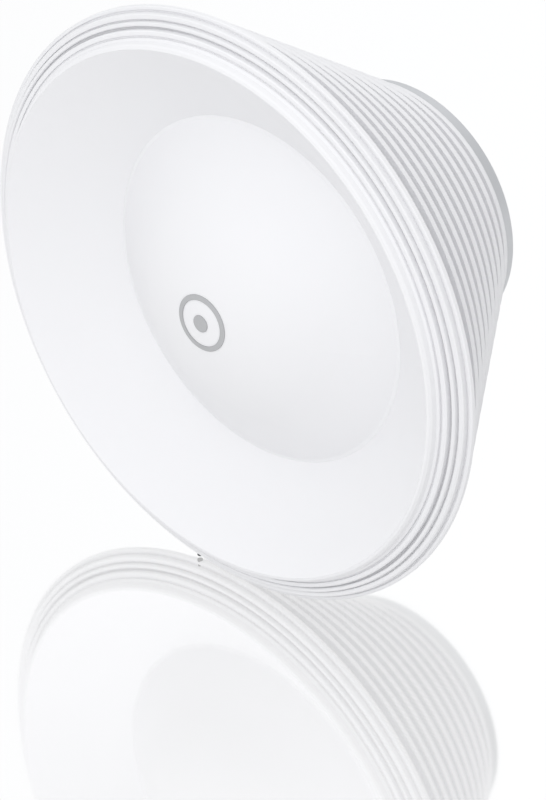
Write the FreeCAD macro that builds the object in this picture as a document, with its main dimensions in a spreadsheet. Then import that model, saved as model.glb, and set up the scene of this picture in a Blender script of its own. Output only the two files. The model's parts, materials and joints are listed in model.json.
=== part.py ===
import FreeCAD, Part
import math
import os
import re
import Sketcher

# Outdoor wireless bridge: a radio unit on the back of a round horn antenna.
# Millimetres. The antenna axis is Y, its radome faces -Y and +Z is up.
# The origin is the centre of the rear mounting face.

SIZES = {
    # ribbed shroud
    "flange_radius": 130.0,
    "flange_front": -135.2,
    "flange_back": -131.1,
    "tier_radius": 127.6,
    "tier_front": -137.6,
    "band_radius": 124.6,
    "band_front": -139.3,
    "band_bore": 122.8,
    "ledge": -132.0,
    "wall": 2.4,
    "rib_first": -121.6,
    "rib_pitch": 10.07,
    "rib_thick": 2.2,
    "rib_depth": 8.5,
    "rib_slope": 0.685,
    "cone_start": -134.0,
    "cone_radius": 129.6,
    "web_front": -50.0,
    "web_back": -47.6,
    "web_bore": 26.0,
    "back_wall": -32.3,
    "neck_radius": 49.0,
    "neck_bore": 44.3,
    "neck_back": -22.2,
    "drain_radius": 1.15,
    "drain_y": -133.9,
    # radome
    "skirt_radius": 121.7,
    "skirt_back": -134.4,
    "radome_wall": 2.4,
    "lip_front": -140.9,
    "step_radius": 118.8,
    "shoulder_radius": 117.4,
    "face_radius": 115.4,
    "face_front": -145.4,
    "crease_radius": 75.8,
    "crease_front": -116.4,
    "apex_front": -151.0,
    "cap_ball": 83.7,
    "cap_slope": 35.0,
    "seal_front": -138.3,
    "seal_back": -136.4,
    "emblem_radius": 12.5,
    "emblem_thick": 0.3,
    # horn and feed
    "mouth_radius": 112.0,
    "mouth_rim": 119.0,
    "mouth_front": -133.6,
    "throat_radius": 19.0,
    "throat_front": -64.0,
    "horn_wall": 2.0,
    "collar_back": -58.0,
    "tube_back": -48.6,
    "tube_flange": 34.0,
    "backshort_back": -46.8,
    "feed_screw_circle": 29.0,
    "probe_y": -55.0,
    "probe_radius": 0.65,
    "probe_inner": 8.0,
    "lead_circle": 24.5,
    # rear ring and radio housing
    "ring_radius": 56.0,
    "ring_bore": 49.3,
    "ring_front": -29.5,
    "ring_back": -22.0,
    "lug_low": -27.8,
    "lug_high": -25.4,
    "lug_play": 0.4,
    "lug_radius": 42.9,
    "lock_groove": 42.6,
    "housing_radius": 44.0,
    "housing_bore": 41.0,
    "housing_front": -46.0,
    "plate_radius": 50.0,
    "plate_front": -21.6,
    "plate_back": -19.2,
    "seal_y": -23.3,
    "seal_circle": 43.2,
    "seal_section": 1.05,
    "boss_radius": 22.0,
    "boss_bore": 17.5,
    "pad_front": -10.5,
    "mount_circle": 15.0,
    "mount_hole": 2.5,
    "insert_radius": 3.6,
    "insert_front": -9.0,
    # board
    "board_radius": 40.4,
    "board_front": -44.6,
    "board_back": -43.0,
    "post_circle": 35.5,
    "post_radius": 3.4,
    "jack_width": 16.0,
    "jack_height": 13.6,
    "jack_back": -26.6,
    "jack_z": -33.0,
    "port_width": 13.6,
    "port_height": 11.2,
    # port cover
    "cover_width": 25.0,
    "cover_low": -43.8,
    "cover_high": -25.0,
    "cover_front": -18.6,
    "cover_back": -16.4,
    "hinge_y": -17.5,
    "hinge_z": -46.0,
    "pin_radius": 0.8,
    "knuckle_radius": 1.5,
    "tongue_half": 6.0,
    "grommet_radius": 4.0,
    # reset button
    "button_radius": 2.0,
    "button_x": 17.5,
    "button_z": -31.0,
    "button_travel": 0.8,
}

RIB_COUNT = 10
LUG_COUNT = 3
LUG_ANGLE = 16
LOCK_TURN = 30
LUG_MARGIN = 3
DRAIN_ANGLE = 262.2
ORIGIN = FreeCAD.Vector(0, 0, 0)
BACKWARD = FreeCAD.Vector(0, 1, 0)
SIDEWAYS = FreeCAD.Vector(1, 0, 0)
UPWARD = FreeCAD.Vector(0, 0, 1)

doc = FreeCAD.newDocument("wireless_bridge")
sheet = doc.addObject("Spreadsheet::Sheet", "Sheet")
for row, (name, value) in enumerate(SIZES.items(), start=1):
    sheet.set("A%d" % row, name)
    sheet.set("B%d" % row, repr(value))
    sheet.setAlias("B%d" % row, name)
doc.recompute()
nodes = []


# ---- Formulas ------------------------------------------------------------

def formula(text):
    """Turn words that name a sheet cell into references to it."""
    def refer(match):
        word = match.group(0)
        return "Sheet." + word if word in SIZES else word
    return re.sub(r"[a-z][a-z_]+", refer, str(text))


def amount(text):
    return float(sheet.evalExpression(formula(text)))


def bind(obj, prop, text):
    obj.setExpression(prop, formula(text))


def put(obj, centre):
    for axis, text in zip("xyz", centre):
        bind(obj, ".Placement.Base." + axis, text)


def around(angle_deg, radius):
    """Formulas for x and z at an angle from +X on a circle about the antenna axis."""
    angle = math.radians(angle_deg)
    return "%s * %.6f" % (radius, math.cos(angle)), "%s * %.6f" % (radius, math.sin(angle))


def keep(name, obj):
    obj.Label = name
    nodes.append(obj)
    return obj


# ---- Turned shapes -------------------------------------------------------

def side_plane(body):
    for feature in body.Origin.OriginFeatures:
        if feature.Role == "XY_Plane":
            return feature
    raise ValueError("no XY plane")


def outline(sketch, points):
    """Closed outline of (radius, y) corners; a third entry bows the side after it to a point."""
    count = len(points)
    spots = []
    for point in points:
        spots.append(FreeCAD.Vector(amount(point[0]), amount(point[1]), 0))
    starts = []
    ends = []
    for i in range(count):
        head = spots[i]
        tail = spots[(i + 1) % count]
        starts.append(1)
        ends.append(2)
        if len(points[i]) == 2:
            sketch.addGeometry(Part.LineSegment(head, tail), False)
            continue
        across, along = points[i][2]
        middle = FreeCAD.Vector(amount(across), amount(along), 0)
        if (middle - head).cross(tail - middle).z > 0:
            sketch.addGeometry(Part.Arc(head, middle, tail), False)
            continue
        sketch.addGeometry(Part.Arc(tail, middle, head), False)
        starts[i] = 2
        ends[i] = 1
    for i in range(count):
        follow = (i + 1) % count
        link = Sketcher.Constraint("Coincident", i, ends[i], follow, starts[follow])
        sketch.addConstraint(link)
    for i, point in enumerate(points):
        fix(sketch, i, starts[i], "r%d" % i, point[0], spots[i].x, "DistanceX", -2)
        fix(sketch, i, starts[i], "y%d" % i, point[1], spots[i].y, "DistanceY", -1)
        if len(point) == 3:
            across, along = point[2]
            middle = FreeCAD.Vector(amount(across), amount(along), 0)
            spot = sketch.addGeometry(Part.Point(middle), True)
            sketch.addConstraint(Sketcher.Constraint("PointOnObject", spot, 1, i))
            fix(sketch, spot, 1, "mr%d" % i, across, middle.x, "DistanceX", -2)
            fix(sketch, spot, 1, "my%d" % i, along, middle.y, "DistanceY", -1)


def fix(sketch, item, end, name, text, value, kind, axis):
    """Fix one coordinate of a corner by a formula, or onto the axis where it is zero."""
    if abs(value) < 1e-9:
        sketch.addConstraint(Sketcher.Constraint("PointOnObject", item, end, axis))
        return
    number = sketch.addConstraint(Sketcher.Constraint(kind, -1, 1, item, end, value))
    sketch.renameConstraint(number, name)
    bind(sketch, "Constraints." + name, text)


def turned(name, points):
    """Part Design body: the outline turned once about the antenna axis."""
    body = doc.addObject("PartDesign::Body", "Body_" + name)
    sketch = body.newObject("Sketcher::SketchObject", "Profile_" + name)
    sketch.AttachmentSupport = [(side_plane(body), "")]
    sketch.MapMode = "FlatFace"
    outline(sketch, points)
    turn = body.newObject("PartDesign::Revolution", "Turn_" + name)
    turn.Profile = sketch
    turn.ReferenceAxis = (sketch, ["V_Axis"])
    turn.Angle = 360
    doc.recompute()
    if not body.Shape.isValid() or body.Shape.Volume <= 0:
        raise RuntimeError(name + " did not turn")
    return body


# ---- Straight shapes -----------------------------------------------------

def rod(name, radius, length, centre, towards=BACKWARD):
    obj = doc.addObject("Part::Cylinder", name)
    bind(obj, "Radius", radius)
    bind(obj, "Height", length)
    obj.Placement = FreeCAD.Placement(ORIGIN, FreeCAD.Rotation(UPWARD, towards))
    put(obj, centre)
    return obj


def tube(name, outer, inner, length, centre, towards=BACKWARD):
    shell = rod(name + "_outer", outer, length, centre, towards)
    return cut(name, shell, [rod(name + "_inner", inner, length, centre, towards)])


def wedge(name, radius, low, high, start_deg, span_deg):
    """Sector of a disc about the antenna axis, between two y values."""
    obj = doc.addObject("Part::Cylinder", name)
    bind(obj, "Radius", radius)
    bind(obj, "Height", "%s - (%s)" % (high, low))
    obj.Angle = span_deg
    level = FreeCAD.Rotation(UPWARD, BACKWARD)
    turn = FreeCAD.Rotation(BACKWARD, start_deg)
    obj.Placement = FreeCAD.Placement(ORIGIN, turn.multiply(level))
    bind(obj, ".Placement.Base.y", low)
    return obj


def block(name, width, depth, height, centre):
    """Box given its x, y and z sizes; centre is its middle in x and z and its front in y."""
    obj = doc.addObject("Part::Box", name)
    bind(obj, "Length", width)
    bind(obj, "Width", depth)
    bind(obj, "Height", height)
    x, y, z = centre
    put(obj, ("%s - (%s) / 2" % (x, width), y, "%s - (%s) / 2" % (z, height)))
    return obj


def fused(name, shapes):
    obj = doc.addObject("Part::MultiFuse", name)
    obj.Shapes = shapes
    obj.Refine = True
    return obj


def cut(name, base, tools):
    obj = doc.addObject("Part::Cut", name)
    obj.Base = base
    obj.Tool = tools[0] if len(tools) == 1 else fused(name + "_tools", tools)
    obj.Refine = True
    return obj


def together(name, shapes):
    obj = doc.addObject("Part::Compound", name)
    obj.Links = shapes
    return obj


def screw(name, head_radius, shank_radius, head_y, seat_y, end_y, x, z):
    """Pan screw along the axis: its head lies between head_y and seat_y."""
    head = rod(name + "_head", head_radius, "abs(%s - (%s))" % (seat_y, head_y),
               (x, "min(%s; %s)" % (head_y, seat_y), z))
    shank = rod(name + "_shank", shank_radius, "abs(%s - (%s))" % (end_y, seat_y),
                (x, "min(%s; %s)" % (seat_y, end_y), z))
    slot_front = "%s - 0.4" % head_y
    slot_a = block(name + "_slot_a", "%s * 1.2" % head_radius, 0.8, 0.7, (x, slot_front, z))
    slot_b = block(name + "_slot_b", 0.7, 0.8, "%s * 1.2" % head_radius, (x, slot_front, z))
    return cut(name, fused(name + "_solid", [head, shank]), [slot_a, slot_b])


# ---- Radome, seal and emblem ---------------------------------------------

def cap_y(radius, lift="0"):
    """Front of the central cap at a distance from the axis, moved back by a lift."""
    return "apex_front + cap_ball - sqrt(cap_ball ^ 2 - (%s) ^ 2) + %s" % (radius, lift)


def make_radome():
    cap_edge = "cap_ball * sin(cap_slope * 1deg)"
    wall = "radome_wall"
    return keep("radome", turned("radome", [
        ("0", "apex_front"),
        ("2", cap_y("2"), (cap_edge + " / 2", cap_y(cap_edge + " / 2"))),
        (cap_edge, cap_y(cap_edge)),
        ("crease_radius - 1", "crease_front - 0.5"),
        ("crease_radius + 0.6", "crease_front"),
        ("face_radius", "face_front"),
        ("face_radius + 1.2", "face_front + 0.3"),
        ("shoulder_radius", "face_front + 1.3"),
        ("shoulder_radius + 0.4", "face_front + 3.2"),
        ("step_radius", "lip_front - 0.5"),
        ("step_radius", "lip_front + 0.5"),
        ("step_radius + 0.8", "lip_front + 0.5"),
        ("step_radius + 0.8", "lip_front"),
        ("skirt_radius - 0.5", "lip_front"),
        ("skirt_radius", "lip_front + 0.5"),
        ("skirt_radius", "skirt_back"),
        ("skirt_radius - radome_wall", "skirt_back"),
        ("skirt_radius - radome_wall", "lip_front + 2.8"),
        ("shoulder_radius - 2.2", "lip_front + 2.0"),
        ("shoulder_radius - radome_wall", "face_front + 3.3"),
        ("crease_radius + 0.6", "crease_front + radome_wall + 0.6"),
        ("crease_radius - 1.2", "crease_front + radome_wall"),
        (cap_edge + " - 1.2", cap_y(cap_edge, wall),
         (cap_edge + " / 2", cap_y(cap_edge + " / 2", wall))),
        ("2", cap_y("2", wall)),
        ("0", "apex_front + radome_wall"),
    ]))


def make_gasket():
    return keep("radome_gasket", turned("radome_gasket", [
        ("skirt_radius", "seal_front"),
        ("band_bore", "seal_front"),
        ("band_bore", "seal_back"),
        ("skirt_radius", "seal_back"),
    ]))


def make_emblem():
    """Plain ring round a dot, laid on the middle of the radome."""
    radome = doc.getObject("Body_radome")
    ring = turned("emblem_ring", [
        ("emblem_radius * 0.82", cap_y("emblem_radius * 0.82", "-emblem_thick")),
        ("emblem_radius", cap_y("emblem_radius", "-emblem_thick")),
        ("emblem_radius", cap_y("emblem_radius", "0.5")),
        ("emblem_radius * 0.82", cap_y("emblem_radius * 0.82", "0.5")),
    ])
    dot = turned("emblem_dot", [
        ("0", "apex_front - emblem_thick"),
        ("emblem_radius * 0.3", cap_y("emblem_radius * 0.3", "-emblem_thick")),
        ("emblem_radius * 0.3", cap_y("emblem_radius * 0.3", "0.5")),
        ("0", "apex_front + 0.5"),
    ])
    return keep("front_emblem", cut("emblem", fused("emblem_solid", [ring, dot]), [radome]))


# ---- Ribbed shroud -------------------------------------------------------

def cone_radius_at(y, inset):
    return "cone_radius - rib_slope * (%s - cone_start) - %s" % (y, inset)


def rib_points():
    points = []
    for index in range(RIB_COUNT):
        centre = "rib_first + rib_pitch * %d" % index
        front = centre + " - rib_thick / 2"
        back = centre + " + rib_thick / 2"
        tip = cone_radius_at("(" + centre + ")", "0")
        points.append((cone_radius_at("(" + front + ")", "rib_depth"), front))
        points.append((tip, front))
        points.append((tip, back))
        if index < RIB_COUNT - 1:
            points.append((cone_radius_at("(" + back + ")", "rib_depth"), back))
    return points


def make_shroud():
    last_back = "rib_first + rib_pitch * %d + rib_thick / 2" % (RIB_COUNT - 1)
    inset = "(rib_depth + wall)"
    shell = turned("shroud", [
        ("band_bore", "band_front + 0.4"),
        ("band_bore + 0.4", "band_front"),
        ("band_radius - 0.4", "band_front"),
        ("band_radius", "band_front + 0.4"),
        ("band_radius", "tier_front + 0.7"),
        ("band_radius + 0.7", "tier_front + 0.7"),
        ("band_radius + 0.7", "tier_front"),
        ("tier_radius - 0.6", "tier_front"),
        ("tier_radius", "tier_front + 0.6"),
        ("tier_radius", "flange_front + 0.4"),
        ("tier_radius + 0.8", "flange_front + 0.4"),
        ("tier_radius + 0.8", "flange_front"),
        ("flange_radius - 0.5", "flange_front"),
        ("flange_radius", "flange_front + 0.5"),
        ("flange_radius", "flange_back - 2.1"),
        ("flange_radius - 2.2", "flange_back"),
        (cone_radius_at("flange_back", "rib_depth"), "flange_back"),
    ] + rib_points() + [
        ("neck_radius", last_back),
        ("neck_radius", "neck_back"),
        ("neck_bore", "neck_back"),
        ("neck_bore", "back_wall"),
        (cone_radius_at("back_wall", inset), "back_wall"),
        (cone_radius_at("web_back", inset), "web_back"),
        ("web_bore", "web_back"),
        ("web_bore", "web_front"),
        (cone_radius_at("web_front", inset), "web_front"),
        (cone_radius_at("ledge", inset), "ledge"),
        ("band_bore", "ledge"),
    ])
    tools = []
    for index in range(LUG_COUNT):
        start = lug_start(index) - LUG_MARGIN
        span = LUG_ANGLE + LOCK_TURN + 2 * LUG_MARGIN
        low = "lug_low - lug_play"
        high = "lug_high + lug_play"
        tools.append(wedge("window_%d" % index, "neck_radius + 0.1", low, high, start, span))
    tools.append(drain_rod("drain_hole", 1))
    for index in range(4):
        x, z = around(45 + 90 * index, "feed_screw_circle")
        tools.append(rod("web_hole_%d" % index, 1.25, 4, (x, "web_front - 0.5", z)))
    return keep("shroud", cut("ribbed_shroud", shell, tools))


def drain_rod(name, spare):
    """Rod through the rim near its lowest point, longer than the wall by a spare length at each end."""
    x, z = around(DRAIN_ANGLE, "(band_bore - %s)" % spare)
    length = "flange_radius - band_bore + %s" % (2 * spare)
    turn = math.radians(DRAIN_ANGLE)
    outward = FreeCAD.Vector(math.cos(turn), 0, math.sin(turn))
    return rod(name, "drain_radius", length, (x, "drain_y", z), outward)


def make_drain_plug():
    return keep("drain_plug", drain_rod("plug_rod", 0.6))


def lug_start(index):
    return 20 + 360 / LUG_COUNT * index


# ---- Horn and feed -------------------------------------------------------

def make_horn():
    return keep("horn_flare", turned("horn_flare", [
        ("mouth_radius", "mouth_front"),
        ("mouth_rim", "mouth_front"),
        ("mouth_rim", "ledge"),
        ("mouth_radius + horn_wall * 1.2", "ledge"),
        ("throat_radius + horn_wall + 4", "throat_front - 0.6"),
        ("throat_radius + horn_wall + 3", "throat_front"),
        ("throat_radius + horn_wall + 3", "collar_back"),
        ("throat_radius + horn_wall + 0.05", "collar_back"),
        ("throat_radius + horn_wall + 0.05", "throat_front"),
        ("throat_radius", "throat_front"),
    ]))


def feed_angles():
    """The two probes stand at right angles: one for each polarisation."""
    return (("vertical", 90), ("horizontal", 0))


def make_feed():
    body = turned("feed_tube", [
        ("throat_radius", "throat_front"),
        ("throat_radius + horn_wall", "throat_front"),
        ("throat_radius + horn_wall", "web_front - 2"),
        ("tube_flange", "web_front - 2"),
        ("tube_flange", "web_front"),
        ("throat_radius + horn_wall", "web_front"),
        ("throat_radius + horn_wall", "tube_back"),
        ("throat_radius", "tube_back"),
    ])
    tools = []
    for name, angle in feed_angles():
        x, z = around(angle, "(throat_radius - 1)")
        towards = FreeCAD.Vector(math.cos(math.radians(angle)), 0, math.sin(math.radians(angle)))
        tools.append(rod("bush_hole_" + name, 1.8, 6, (x, "probe_y", z), towards))
        x, z = around(angle, "lead_circle")
        tools.append(rod("lead_hole_" + name, 1.2, 6, (x, "web_front - 3", z)))
    for index in range(4):
        x, z = around(45 + 90 * index, "feed_screw_circle")
        tools.append(rod("feed_hole_%d" % index, 1.6, 4, (x, "web_front - 3", z)))
    keep("feed_tube", cut("feed", body, tools))
    keep("backshort", rod("backshort_plate", "throat_radius + horn_wall",
                          "backshort_back - tube_back", ("0", "tube_back", "0")))
    bushes = []
    for name, angle in feed_angles():
        towards = FreeCAD.Vector(math.cos(math.radians(angle)), 0, math.sin(math.radians(angle)))
        x, z = around(angle, "(throat_radius + 0.3)")
        bushes.append(tube("bush_" + name, 1.8, "probe_radius", "horn_wall + 1.2", (x, "probe_y", z), towards))
        x, z = around(angle, "probe_inner")
        pin = rod("pin_" + name, "probe_radius", "lead_circle - probe_inner", (x, "probe_y", z), towards)
        x, z = around(angle, "lead_circle")
        lead = rod("lead_" + name, "probe_radius", "board_front - probe_y", (x, "probe_y", z))
        elbow = doc.addObject("Part::Sphere", "elbow_" + name)
        bind(elbow, "Radius", "probe_radius")
        put(elbow, (x, "probe_y", z))
        keep("probe_" + name, fused("probe_" + name + "_solid", [pin, lead, elbow]))
    keep("probe_bushes", together("bushes", bushes))
    screws = []
    for index in range(4):
        x, z = around(45 + 90 * index, "feed_screw_circle")
        screws.append(screw("feed_screw_%d" % index, 2.6, 1.25, "web_front - 3.8", "web_front - 2",
                            "web_back - 0.1", x, z))
    keep("feed_screws", together("feed_screw_set", screws))


# ---- Locking ring and its seal -------------------------------------------

def make_lock_ring():
    ring = turned("ring", [
        ("ring_bore", "ring_front"),
        ("ring_radius - 0.6", "ring_front"),
        ("ring_radius", "ring_front + 0.6"),
        ("ring_radius", "ring_back - 0.8"),
        ("ring_radius - 0.8", "ring_back"),
        ("ring_bore", "ring_back"),
    ])
    pieces = [ring]
    for index in range(LUG_COUNT):
        outer = wedge("lug_%d_outer" % index, "ring_bore + 0.5", "lug_low", "lug_high",
                      lug_start(index), LUG_ANGLE)
        inner = rod("lug_%d_inner" % index, "lug_radius", "lug_high - lug_low + 1",
                    ("0", "lug_low - 0.5", "0"))
        pieces.append(cut("lug_%d" % index, outer, [inner]))
    return keep("lock_ring", fused("lock_ring_solid", pieces))


def make_ring_seal():
    seal = doc.addObject("Part::Torus", "seal_ring")
    bind(seal, "Radius1", "seal_circle")
    bind(seal, "Radius2", "seal_section")
    seal.Placement = FreeCAD.Placement(ORIGIN, FreeCAD.Rotation(UPWARD, BACKWARD))
    bind(seal, ".Placement.Base.y", "seal_y")
    return keep("housing_seal", seal)


# ---- Radio housing -------------------------------------------------------

def post_places():
    return [around(angle, "post_circle") for angle in (45, 135, 225, 315)]


def light_places():
    return [("-8", "35.5"), ("0", "35.5"), ("8", "35.5")]


def mount_places():
    return [around(angle, "mount_circle") for angle in (45, 135, 225, 315)]


def housing_shell():
    seal_low = "seal_y - seal_section - 0.1"
    seal_high = "seal_y + seal_section + 0.1"
    return turned("housing", [
        ("housing_radius - 0.4", "housing_front"),
        ("housing_radius", "housing_front + 0.6"),
        ("housing_radius", "lug_low - lug_play"),
        ("lock_groove", "lug_low - lug_play"),
        ("lock_groove", "lug_high + lug_play"),
        ("housing_radius", "lug_high + lug_play"),
        ("housing_radius", seal_low),
        ("seal_circle - seal_section", seal_low),
        ("seal_circle - seal_section", seal_high),
        ("housing_radius", seal_high),
        ("housing_radius", "plate_front"),
        ("housing_bore", "plate_front"),
        ("housing_bore", "board_front"),
        ("board_radius - 2.4", "board_front"),
        ("board_radius - 2.4", "housing_front"),
    ])


def rear_plate():
    return turned("rear_plate", [
        ("plate_radius", "plate_front"),
        ("plate_radius", "plate_back - 0.6"),
        ("plate_radius - 0.6", "plate_back"),
        ("boss_radius + 1.2", "plate_back"),
        ("boss_radius", "plate_back + 1.2"),
        ("boss_radius", "-0.8"),
        ("boss_radius - 0.8", "0"),
        ("0", "0"),
        ("0", "pad_front"),
        ("boss_bore", "pad_front"),
        ("boss_bore", "plate_front"),
    ])


def hinge_ears():
    """Two ears that carry the cover's pin, each rounded about the pin."""
    ears = []
    for name, x in (("left", "-tongue_half - 3"), ("right", "tongue_half + 0.3")):
        drum = rod("ear_drum_" + name, "knuckle_radius + 0.1", 2.7, (x, "hinge_y", "hinge_z"), SIDEWAYS)
        foot = block("ear_foot_" + name, 2.7, "hinge_y - plate_back + 0.5", "knuckle_radius * 2 + 0.2",
                     (x + " + 1.35", "plate_back - 0.5", "hinge_z"))
        ears.extend([drum, foot])
    return ears


def make_housing():
    tools = []
    for index in range(LUG_COUNT):
        start = lug_start(index) + LOCK_TURN - LUG_MARGIN
        outer = wedge("entry_%d_outer" % index, "housing_radius + 1", "housing_front - 1", "lug_low",
                      start, LUG_ANGLE + 2 * LUG_MARGIN)
        inner = rod("entry_%d_inner" % index, "lock_groove", "lug_low - housing_front + 3",
                    ("0", "housing_front - 2", "0"))
        tools.append(cut("entry_%d" % index, outer, [inner]))
    return keep("radio_housing", cut("housing_finished", housing_shell(), tools))


def make_rear_cover():
    pieces = [rear_plate()] + hinge_ears()
    tools = []
    for index, (x, z) in enumerate(post_places()):
        pieces.append(rod("post_%d" % index, "post_radius", "plate_front - board_back + 0.5",
                          (x, "board_back", z)))
        tools.append(rod("post_hole_%d" % index, 1.1, 9, (x, "board_back - 0.5", z)))
    for index, (x, z) in enumerate(light_places()):
        tools.append(rod("light_hole_%d" % index, 1.5, 4, (x, "plate_front - 0.8", z)))
    for index, (x, z) in enumerate(mount_places()):
        tools.append(rod("insert_hole_%d" % index, "insert_radius", 12, (x, "insert_front", z)))
    tools.append(block("port_hole", "port_width + 1.4", 4, "port_height + 1.8",
                       ("0", "plate_front - 0.8", "jack_z")))
    tools.append(rod("button_hole", "button_radius + 0.15", 4, ("button_x", "plate_front - 0.8", "button_z")))
    tools.append(rod("ground_hole", 1.6, 4, ("-button_x", "plate_front - 0.8", "button_z")))
    tools.append(rod("vent_hole", 3.4, 4, ("-33.5", "plate_front - 0.8", "9")))
    tools.append(rod("pin_hole", "pin_radius", 30, ("-15", "hinge_y", "hinge_z"), SIDEWAYS))
    return keep("rear_cover", cut("rear_cover_finished", fused("rear_cover_solid", pieces), tools))


def make_mount_inserts():
    inserts = []
    for index, (x, z) in enumerate(mount_places()):
        inserts.append(tube("insert_%d" % index, "insert_radius", "mount_hole", "-insert_front",
                            (x, "insert_front", z)))
    return keep("mount_inserts", together("insert_set", inserts))


def make_rear_fittings():
    stem = rod("vent_stem", 3.4, "plate_back - plate_front", ("-33.5", "plate_front", "9"))
    cap = rod("vent_cap", 5.2, 1.6, ("-33.5", "plate_back", "9"))
    slots = []
    for index in range(3):
        slots.append(block("vent_slot_%d" % index, 6.4, 0.8, 0.8,
                           ("-33.5", "plate_back + 1", "%.1f" % (7.2 + 1.8 * index))))
    keep("vent_plug", cut("vent", fused("vent_solid", [stem, cap]), slots))
    keep("ground_screw", screw("ground", 3.2, 1.6, "plate_back + 3.2", "plate_back + 0.8",
                               "plate_front - 5", "-button_x", "button_z"))
    keep("ground_washer", tube("washer", 4.2, 1.65, 0.8, ("-button_x", "plate_back", "button_z")))
    pipes = []
    for index, (x, z) in enumerate(light_places()):
        pipes.append(rod("pipe_%d" % index, 1.5, "plate_back + 0.5 - board_back - 1.4",
                         (x, "board_back + 1.4", z)))
    keep("light_pipes", together("light_pipe_set", pipes))


# ---- Board and what stands on it -----------------------------------------

def on_board(name, width, height, depth, x, z):
    return block(name, width, depth, height, (x, "board_back", z))


def make_board():
    disc = rod("board_disc", "board_radius", "board_back - board_front", ("0", "board_front", "0"))
    holes = []
    for index, (x, z) in enumerate(post_places()):
        holes.append(rod("board_hole_%d" % index, 1.2, 3, (x, "board_front - 0.5", z)))
    keep("radio_board", cut("board", disc, holes))
    screws = []
    for index, (x, z) in enumerate(post_places()):
        screws.append(screw("board_screw_%d" % index, 2.2, 1.1, "board_front - 1.4", "board_front",
                            "board_back + 6", x, z))
    keep("board_screws", together("board_screw_set", screws))
    case = on_board("can_case", 30, 22, 4.5, "0", "9")
    hollow = block("can_hollow", 29, 4.1, 21, ("0", "board_back", "9"))
    keep("shield_can", cut("can", case, [hollow]))
    keep("radio_chip", on_board("chip", 12, 12, 1.6, "0", "9"))
    keep("processor_chip", on_board("processor", 11, 11, 1.4, "-25.5", "8"))
    keep("heat_pad", block("pad", 11, 1.2, 11, ("-25.5", "board_back + 1.4", "8")))
    keep("line_transformer", on_board("transformer", 16, 7, 6, "0", "-18.5"))
    arresters = []
    for side, x in (("left", "-14"), ("right", "14")):
        arresters.append(rod("arrester_" + side, 2.4, 6, (x, "board_back", "-18.5")))
    keep("surge_arresters", together("arrester_set", arresters))
    lights = []
    for index, (x, z) in enumerate(light_places()):
        lights.append(on_board("light_%d" % index, 1.8, 1.2, 1.0, x, z))
    keep("status_lights", together("light_set", lights))


def make_jack():
    depth = "jack_back - board_back"
    case = block("jack_case", "jack_width", depth, "jack_height", ("0", "board_back", "jack_z"))
    socket = block("jack_socket", 11.8, 13, 8.2, ("0", "jack_back - 12.6", "jack_z - 0.4"))
    notch = block("jack_notch", 6.0, 8, 3, ("0", "jack_back - 7.6", "jack_z + 4.4"))
    keep("ethernet_jack", cut("jack", case, [socket, notch]))
    contacts = []
    for index in range(8):
        x = "%.3f" % (-3.57 + 1.02 * index)
        contacts.append(block("contact_%d" % index, 0.4, 8, 0.5,
                              (x, "jack_back - 12.6", "jack_z - 4.25")))
    return keep("jack_contacts", together("contact_set", contacts))


# ---- Port cover and reset button -----------------------------------------

def make_port_cover():
    half = "(cover_high + cover_low) / 2"
    panel = block("cover_panel", "cover_width", "cover_back - cover_front", "cover_high - cover_low",
                  ("0", "cover_front", half))
    tongue = block("cover_tongue", "tongue_half * 2", "cover_back - cover_front",
                   "cover_low - hinge_z + 0.4", ("0", "cover_front", "(cover_low + hinge_z + 0.4) / 2"))
    barrel = rod("cover_barrel", "knuckle_radius", "tongue_half * 2",
                 ("-tongue_half", "hinge_y", "hinge_z"), SIDEWAYS)
    tab = block("cover_tab", 8, "(cover_back - cover_front) * 0.6", 2,
                ("0", "cover_front + 0.9", "cover_high + 0.7"))
    bore = rod("cover_bore", "pin_radius + 0.05", 30, ("-15", "hinge_y", "hinge_z"), SIDEWAYS)
    hole = rod("cover_hole", "grommet_radius", 4, ("0", "cover_front - 0.8", "jack_z"))
    shape = fused("cover_solid", [panel, tongue, barrel, tab])
    keep("port_cover", cut("cover", shape, [bore, hole]))
    plug = rod("grommet_plug", "grommet_radius", "cover_back - cover_front", ("0", "cover_front", "jack_z"))
    rim = rod("grommet_rim", "grommet_radius + 1.4", 0.9, ("0", "cover_back", "jack_z"))
    slit = block("grommet_slit", "grommet_radius * 1.5", 0.8, 0.4, ("0", "cover_back + 0.4", "jack_z"))
    keep("cable_grommet", cut("grommet", fused("grommet_solid", [plug, rim]), [slit]))
    frame = block("seal_frame", "cover_width - 4", "cover_front - plate_back - 0.05", "port_height + 4.4",
                  ("0", "plate_back", "jack_z"))
    opening = block("seal_opening", "port_width + 1.4", 4, "port_height + 1.8",
                    ("0", "plate_back - 1", "jack_z"))
    keep("cover_seal", cut("cover_gasket", frame, [opening]))
    keep("hinge_pin", rod("pin", "pin_radius", "tongue_half * 2 + 6",
                          ("-tongue_half - 3", "hinge_y", "hinge_z"), SIDEWAYS))


def make_reset():
    stem_front = "board_back + 4.2 + button_travel"
    stem = rod("button_stem", "button_radius", "plate_back + 0.9 - (%s)" % stem_front,
               ("button_x", stem_front, "button_z"))
    collar = rod("button_collar", "button_radius + 1", 1.4, ("button_x", "plate_front - 1.5", "button_z"))
    keep("reset_button", fused("button", [stem, collar]))
    case = on_board("switch_case", 6, 6, 3.4, "button_x", "button_z")
    key = rod("switch_key", 1.4, 0.7, ("button_x", "board_back + 3.4", "button_z"))
    keep("reset_switch", fused("switch", [case, key]))


# ---- Build and write -----------------------------------------------------

make_radome()
make_gasket()
make_emblem()
make_shroud()
make_drain_plug()
make_horn()
make_feed()
make_lock_ring()
make_ring_seal()
make_housing()
make_rear_cover()
make_mount_inserts()
make_rear_fittings()
make_board()
make_jack()
make_port_cover()
make_reset()
doc.recompute()

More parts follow.
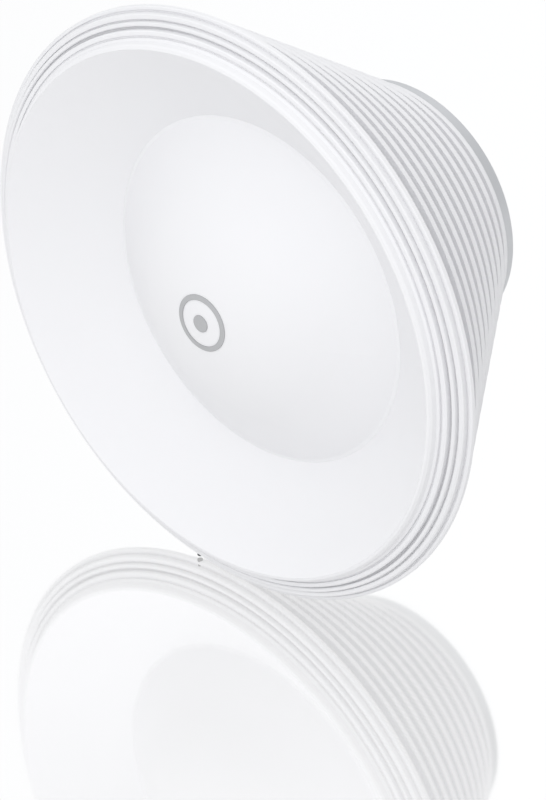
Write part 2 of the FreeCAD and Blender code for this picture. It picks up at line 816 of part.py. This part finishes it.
for obj in doc.Objects:
    if "Invalid" in obj.State or "Error" in obj.State:
        raise RuntimeError(obj.Label + " failed")

os.makedirs("parts", exist_ok=True)
for obj in nodes:
    if obj.Shape.isNull() or not obj.Shape.isValid() or obj.Shape.Volume <= 0:
        raise RuntimeError(obj.Label + " has no valid shape")
    obj.Shape.exportStep("parts/%s.step" % obj.Label)
    print("%-18s solids %d  volume %.1f" % (obj.Label, len(obj.Shape.Solids), obj.Shape.Volume))
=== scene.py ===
import json
import math

import bpy
from mathutils import Matrix, Vector


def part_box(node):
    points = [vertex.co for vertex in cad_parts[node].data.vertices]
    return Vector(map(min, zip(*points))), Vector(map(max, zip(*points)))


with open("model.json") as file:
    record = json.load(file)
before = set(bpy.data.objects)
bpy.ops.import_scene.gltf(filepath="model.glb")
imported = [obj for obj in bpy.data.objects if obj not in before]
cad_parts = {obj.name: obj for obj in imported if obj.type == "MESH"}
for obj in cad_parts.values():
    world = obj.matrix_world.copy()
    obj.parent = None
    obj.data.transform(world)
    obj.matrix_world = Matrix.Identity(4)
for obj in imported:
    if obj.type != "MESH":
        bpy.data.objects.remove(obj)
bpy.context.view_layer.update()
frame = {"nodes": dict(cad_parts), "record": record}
nodes = frame["nodes"]
scene = bpy.context.scene

# ---- Main places, in metres, read from the frame -------------------------

SHROUD_LOW, SHROUD_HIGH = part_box("shroud")
FLANGE_RADIUS = SHROUD_HIGH[0]
GROUND_Z = SHROUD_LOW[2]

# ---- Camera --------------------------------------------------------------
# Turn and tilt are in degrees. The camera is placed from a point on the antenna's axis inside the flange's
# thickness, and its distances are in flange radii.

FLANGE_Y = -0.134
CAMERA_TURN = 42.49
CAMERA_TILT = 32.73
CAMERA_DISTANCE = 15.54
FLANGE_RIGHT = -0.1357
FLANGE_UP = 0.288
LENS_MM = 225.0
SENSOR_MM = 36.0
CLIP_END = 100.0

# ---- World and light -----------------------------------------------------
# The world is dimmed towards two sides, each down to its level. The level is reached once the cosine to that
# side is as high as its full value.

WORLD_BRIGHT = 1.10
WORLD_COLOUR = (0.985, 0.99, 1.0, 1.0)
PLUS_X_SIDE = (0.82, 0.57, 0.0)
PLUS_X_LEVEL = 0.68
PLUS_X_FULL = 0.8
MINUS_X_SIDE = (-0.98, -0.2, 0.0)
MINUS_X_LEVEL = 0.74
MINUS_X_FULL = 0.9
LIGHT_PLACE = (0.36, -1.3, 1.3)
LIGHT_TARGET = (0.0, -0.13, 0.0)
LIGHT_WIDTH = 0.7
LIGHT_POWER = 5.2

# ---- Floor ---------------------------------------------------------------

WHITE = (1.0, 1.0, 1.0, 1.0)
FLOOR_HALF = 12.0
FLOOR_GAP = 0.0005
FLOOR_GLOW = 1.06
FLOOR_MIRROR = 0.6
FLOOR_ROUGH = 0.05

# ---- What every finish shares --------------------------------------------

EDGE_RADIUS = 0.0004
EDGE_SAMPLES = 4
RELIEF_HEIGHT = 0.0002
CLOUD_SCALE = 14.0
GLOSS_SCALE = 70.0
GLOSS_VARY = 0.06
RUBBED_FROM = 0.52
RUBBED_TO = 0.60


# ---- Node helpers --------------------------------------------------------

def new_material(name):
    mat = bpy.data.materials.new(name)
    mat.use_nodes = True
    return mat


def noise(tree, vector, scale, detail=3.0, rough=0.5):
    made = tree.nodes.new("ShaderNodeTexNoise")
    made.inputs["Scale"].default_value = scale
    made.inputs["Detail"].default_value = detail
    made.inputs["Roughness"].default_value = rough
    tree.links.new(vector, made.inputs["Vector"])
    return made.outputs["Fac"]


def spread(tree, source, low, high, from_low=0.3, from_high=0.7):
    """The source, stretched from one range to another. The first range suits a noise unless given."""
    made = tree.nodes.new("ShaderNodeMapRange")
    made.inputs["From Min"].default_value = from_low
    made.inputs["From Max"].default_value = from_high
    made.inputs["To Min"].default_value = low
    made.inputs["To Max"].default_value = high
    tree.links.new(source, made.inputs["Value"])
    return made.outputs["Result"]


def times(tree, first, second):
    """The product of a socket and another socket or a number."""
    made = tree.nodes.new("ShaderNodeMath")
    made.operation = "MULTIPLY"
    tree.links.new(first, made.inputs[0])
    if isinstance(second, float):
        made.inputs[1].default_value = second
    else:
        tree.links.new(second, made.inputs[1])
    return made.outputs[0]


def mix_colour(tree, factor, first, second):
    """A blend of two colours, each a socket or a plain colour."""
    made = tree.nodes.new("ShaderNodeMix")
    made.data_type = "RGBA"
    tree.links.new(factor, made.inputs["Factor"])
    for socket, value in ((made.inputs["A"], first), (made.inputs["B"], second)):
        if isinstance(value, tuple):
            socket.default_value = value
        else:
            tree.links.new(value, socket)
    return made.outputs["Result"]


def shade(colour, gain):
    return tuple(min(1.0, max(0.0, c * gain)) for c in colour) + (1.0,)


def object_place(tree):
    return tree.nodes.new("ShaderNodeTexCoord").outputs["Object"]


def turned_place(tree):
    """Place as (distance from the antenna's axis, distance along it), for lines left by turning."""
    split = tree.nodes.new("ShaderNodeSeparateXYZ")
    tree.links.new(object_place(tree), split.inputs[0])
    flat = tree.nodes.new("ShaderNodeCombineXYZ")
    tree.links.new(split.outputs["X"], flat.inputs["X"])
    tree.links.new(split.outputs["Z"], flat.inputs["Y"])
    length = tree.nodes.new("ShaderNodeVectorMath")
    length.operation = "LENGTH"
    tree.links.new(flat.outputs[0], length.inputs[0])
    joined = tree.nodes.new("ShaderNodeCombineXYZ")
    tree.links.new(length.outputs["Value"], joined.inputs["X"])
    tree.links.new(split.outputs["Y"], joined.inputs["Y"])
    return joined.outputs[0]


def rounded_normal(tree):
    """The surface's direction, with sharp edges shaded as if slightly rounded."""
    made = tree.nodes.new("ShaderNodeBevel")
    made.samples = EDGE_SAMPLES
    made.inputs["Radius"].default_value = EDGE_RADIUS
    return made.outputs["Normal"]


def surface(name, colour, rough, metal=0.0, vary=0.02, grain=900.0, bump=0.05, wear=0.0,
            turned=False, coat=0.0):
    """A finish with cloudy colour, uneven gloss, fine grain and rounded edges, which wear lightens."""
    mat = new_material(name)
    tree = mat.node_tree
    shader = tree.nodes["Principled BSDF"]
    shader.inputs["Metallic"].default_value = metal
    shader.inputs["Coat Weight"].default_value = coat
    place = object_place(tree)
    cloud = spread(tree, noise(tree, place, CLOUD_SCALE), 0.0, 1.0)
    tint = mix_colour(tree, cloud, shade(colour, 1.0 - vary), shade(colour, 1.0 + vary))
    if wear > 0.0:
        edge = tree.nodes.new("ShaderNodeNewGeometry").outputs["Pointiness"]
        rubbed = spread(tree, edge, 0.0, 1.0, RUBBED_FROM, RUBBED_TO)
        tint = mix_colour(tree, rubbed, tint, shade(colour, 1.0 + wear))
    tree.links.new(tint, shader.inputs["Base Color"])
    uneven = spread(tree, noise(tree, place, GLOSS_SCALE), rough - GLOSS_VARY, rough + GLOSS_VARY)
    tree.links.new(uneven, shader.inputs["Roughness"])
    fine = noise(tree, turned_place(tree) if turned else place, grain, detail=4.0, rough=0.6)
    relief = tree.nodes.new("ShaderNodeBump")
    relief.inputs["Strength"].default_value = bump
    relief.inputs["Distance"].default_value = RELIEF_HEIGHT
    tree.links.new(rounded_normal(tree), relief.inputs["Normal"])
    tree.links.new(fine, relief.inputs["Height"])
    tree.links.new(relief.outputs["Normal"], shader.inputs["Normal"])
    return mat


# ---- Materials, one for each of the record's slots -----------------------

materials = {}


def finish(slot, colour, rough, **look):
    materials[slot] = surface(slot, colour, rough, **look)


def white_mouldings():
    finish("radome_white", (0.860, 0.860, 0.876), 0.42, vary=0.004, grain=1400, bump=0.04, wear=0.02)
    finish("shroud_white", (0.84, 0.84, 0.855), 0.45, vary=0.012, grain=1200, bump=0.06, wear=0.05)
    finish("housing_white", (0.74, 0.74, 0.76), 0.5, vary=0.02, grain=1100, bump=0.12, wear=0.06)


def seals():
    finish("seal_grey", (0.62, 0.62, 0.635), 0.7, vary=0.08, grain=1500, bump=0.2)
    finish("seal_dark", (0.035, 0.035, 0.038), 0.65, vary=0.15, grain=1500, bump=0.2, wear=0.4)


def emblem_print():
    finish("emblem_grey", (0.46, 0.465, 0.475), 0.4, vary=0.05, grain=1800, bump=0.05)


def antenna_metals():
    finish("cast_aluminium", (0.66, 0.67, 0.68), 0.42, metal=1.0, vary=0.05, grain=700, bump=0.25, wear=0.1)
    finish("ring_metal", (0.56, 0.57, 0.585), 0.36, metal=0.75, vary=0.04, grain=2400, bump=0.18, wear=0.2,
           turned=True)


def small_metals():
    finish("brass", (0.72, 0.50, 0.20), 0.3, metal=1.0, vary=0.06, grain=1500, bump=0.12, wear=0.15)
    finish("contact_gold", (0.85, 0.62, 0.24), 0.22, metal=1.0, vary=0.03, grain=2500, bump=0.05)
    finish("screw_steel", (0.58, 0.58, 0.60), 0.3, metal=1.0, vary=0.06, grain=2200, bump=0.14, wear=0.2)
    finish("can_steel", (0.62, 0.63, 0.64), 0.28, metal=1.0, vary=0.05, grain=1300, bump=0.1, wear=0.1)


def feed_insulation():
    finish("ptfe_white", (0.82, 0.82, 0.80), 0.5, vary=0.03, grain=900, bump=0.08)


def circuit_parts():
    finish("board_green", (0.02, 0.16, 0.06), 0.3, vary=0.15, grain=600, bump=0.2, coat=0.4)
    finish("chip_black", (0.02, 0.02, 0.023), 0.5, vary=0.2, grain=1800, bump=0.2, wear=0.4)
    finish("pad_blue", (0.16, 0.26, 0.42), 0.7, vary=0.1, grain=1500, bump=0.2)
    finish("arrester_blue", (0.05, 0.13, 0.34), 0.25, vary=0.1, grain=900, bump=0.1, coat=0.5)
    finish("jack_black", (0.022, 0.022, 0.025), 0.45, vary=0.15, grain=1500, bump=0.15, wear=0.4)


def status_light_parts():
    finish("led_white", (0.85, 0.85, 0.72), 0.2, vary=0.04, grain=900, bump=0.03)
    finish("light_pipe", (0.78, 0.81, 0.83), 0.15, vary=0.03, grain=900, bump=0.04, coat=0.6)


def rear_fittings():
    finish("fitting_grey", (0.34, 0.345, 0.36), 0.48, vary=0.04, grain=1300, bump=0.15, wear=0.12)
    finish("button_grey", (0.10, 0.10, 0.11), 0.42, vary=0.06, grain=1400, bump=0.12, wear=0.2)


def paint_nodes():
    for part in frame["record"]["subparts"]:
        obj = nodes[part["node"]]
        obj.data.materials.clear()
        obj.data.materials.append(materials[part["material_slot"]])


# ---- Floor, world, light -------------------------------------------------

def floor_material():
    """White that glows evenly and mirrors what stands on it."""
    mat = new_material("floor_white")
    tree = mat.node_tree
    tree.nodes.clear()
    out = tree.nodes.new("ShaderNodeOutputMaterial")
    glow = tree.nodes.new("ShaderNodeEmission")
    glow.inputs["Color"].default_value = WHITE
    glow.inputs["Strength"].default_value = FLOOR_GLOW
    gloss = tree.nodes.new("ShaderNodeBsdfGlossy")
    gloss.inputs["Color"].default_value = WHITE
    gloss.inputs["Roughness"].default_value = FLOOR_ROUGH
    both = tree.nodes.new("ShaderNodeMixShader")
    both.inputs["Fac"].default_value = FLOOR_MIRROR
    tree.links.new(glow.outputs[0], both.inputs[1])
    tree.links.new(gloss.outputs[0], both.inputs[2])
    tree.links.new(both.outputs[0], out.inputs["Surface"])
    return mat


def make_floor():
    """A level square just below the flange's lowest point."""
    half = FLOOR_HALF
    corners = [(-half, -half, 0), (half, -half, 0), (half, half, 0), (-half, half, 0)]
    mesh = bpy.data.meshes.new("floor")
    mesh.from_pydata(corners, [], [(0, 1, 2, 3)])
    mesh.materials.append(floor_material())
    floor = bpy.data.objects.new("floor", mesh)
    floor.location.z = GROUND_Z - FLOOR_GAP
    scene.collection.objects.link(floor)


def dimmed(tree, towards, side, level, full):
    """1 for directions away from a side, falling to a level for those close to it."""
    lean = tree.nodes.new("ShaderNodeVectorMath")
    lean.operation = "DOT_PRODUCT"
    lean.inputs[1].default_value = side
    tree.links.new(towards, lean.inputs[0])
    return spread(tree, lean.outputs["Value"], 1.0, level, 0.0, full)


def make_world():
    """White studio, dimmer out to both sides of the antenna."""
    world = bpy.data.worlds.new("studio")
    scene.world = world
    world.use_nodes = True
    tree = world.node_tree
    tree.nodes.clear()
    out = tree.nodes.new("ShaderNodeOutputWorld")
    back = tree.nodes.new("ShaderNodeBackground")
    back.inputs["Color"].default_value = WORLD_COLOUR
    towards = tree.nodes.new("ShaderNodeTexCoord").outputs["Generated"]
    plus_side = dimmed(tree, towards, PLUS_X_SIDE, PLUS_X_LEVEL, PLUS_X_FULL)
    minus_side = dimmed(tree, towards, MINUS_X_SIDE, MINUS_X_LEVEL, MINUS_X_FULL)
    strength = times(tree, times(tree, plus_side, minus_side), WORLD_BRIGHT)
    tree.links.new(strength, back.inputs["Strength"])
    tree.links.new(back.outputs[0], out.inputs["Surface"])


def make_light():
    """Round soft light, high in front, itself unseen and not mirrored."""
    data = bpy.data.lights.new("high_softbox", "AREA")
    data.shape = "DISK"
    data.size = LIGHT_WIDTH
    data.energy = LIGHT_POWER
    lamp = bpy.data.objects.new("high_softbox", data)
    scene.collection.objects.link(lamp)
    lamp.location = LIGHT_PLACE
    aim = Vector(LIGHT_TARGET) - Vector(LIGHT_PLACE)
    lamp.rotation_euler = aim.to_track_quat("-Z", "Y").to_euler()
    lamp.visible_camera = False
    lamp.visible_glossy = False


# ---- Camera --------------------------------------------------------------

def make_camera():
    """Long lens, looking down on the radome from in front, on its +X side."""
    turn = math.radians(CAMERA_TURN)
    tilt = math.radians(CAMERA_TILT)
    right = Vector((math.cos(turn), math.sin(turn), 0.0))
    ahead = Vector((-math.sin(turn) * math.cos(tilt), math.cos(turn) * math.cos(tilt), -math.sin(tilt)))
    up = right.cross(ahead)
    flange = Vector((0.0, FLANGE_Y, 0.0))
    offset = right * FLANGE_RIGHT + up * FLANGE_UP + ahead * CAMERA_DISTANCE
    data = bpy.data.cameras.new("camera")
    data.lens = LENS_MM
    data.sensor_width = SENSOR_MM
    data.clip_end = CLIP_END
    camera = bpy.data.objects.new("camera", data)
    scene.collection.objects.link(camera)
    axes = Matrix((right, up, -ahead)).transposed().to_4x4()
    camera.matrix_world = Matrix.Translation(flange - offset * FLANGE_RADIUS) @ axes
    scene.camera = camera


white_mouldings()
seals()
emblem_print()
antenna_metals()
small_metals()
feed_insulation()
circuit_parts()
status_light_parts()
rear_fittings()
paint_nodes()
make_floor()
make_world()
make_light()
make_camera()
scene.view_settings.view_transform = "Standard"
